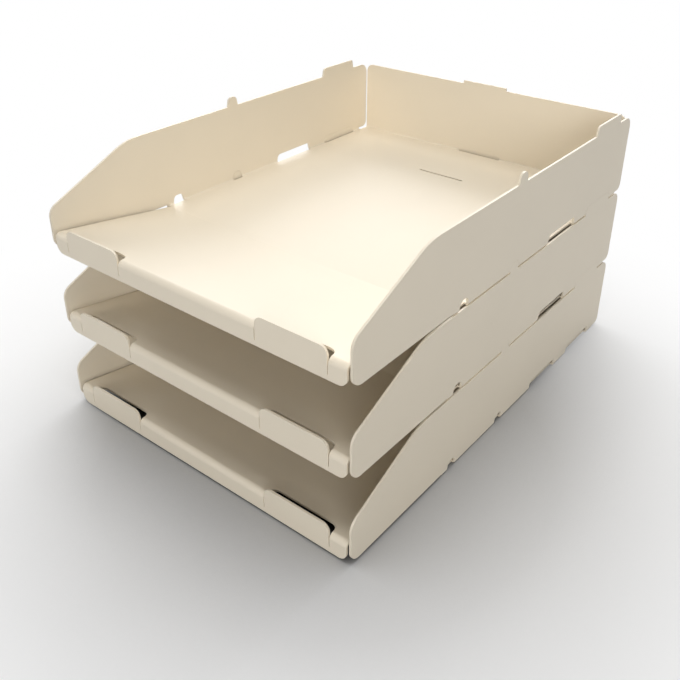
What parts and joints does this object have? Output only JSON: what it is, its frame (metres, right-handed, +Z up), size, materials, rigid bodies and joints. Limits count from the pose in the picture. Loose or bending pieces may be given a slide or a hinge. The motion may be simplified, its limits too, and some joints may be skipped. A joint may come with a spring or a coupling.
{
  "type": "letter tray stack",
  "caption": "Stack of equal letter trays of folded sheet steel, each keyed into the tray above by tabs in its side walls, with a low ramped lip at the open front.",
  "frame": {"origin": "on the table, under the middle of the bottom tray", "axes": "+X to the right seen from the open front, -Y towards the open front with its lip, +Y towards the back wall, +Z up"},
  "size_m": [0.25, 0.338, 0.1883],
  "materials": {
    "tray_coating": "warm ivory powder coat, satin, with a very fine texture"
  },
  "bodies": {
    "bottom": {"bottom_tray": "tray_coating"},
    "middle": {"middle_tray": "tray_coating"},
    "top": {"top_tray": "tray_coating"}
  },
  "joints": [
    {"name": "middle_tray_lift", "type": "slide", "parent": "bottom", "child": "middle", "axis": [0, 0, 1], "range_m": [0, 0.08]},
    {"name": "top_tray_lift", "type": "slide", "parent": "middle", "child": "top", "axis": [0, 0, 1], "range_m": [0, 0.08]}
  ]
}
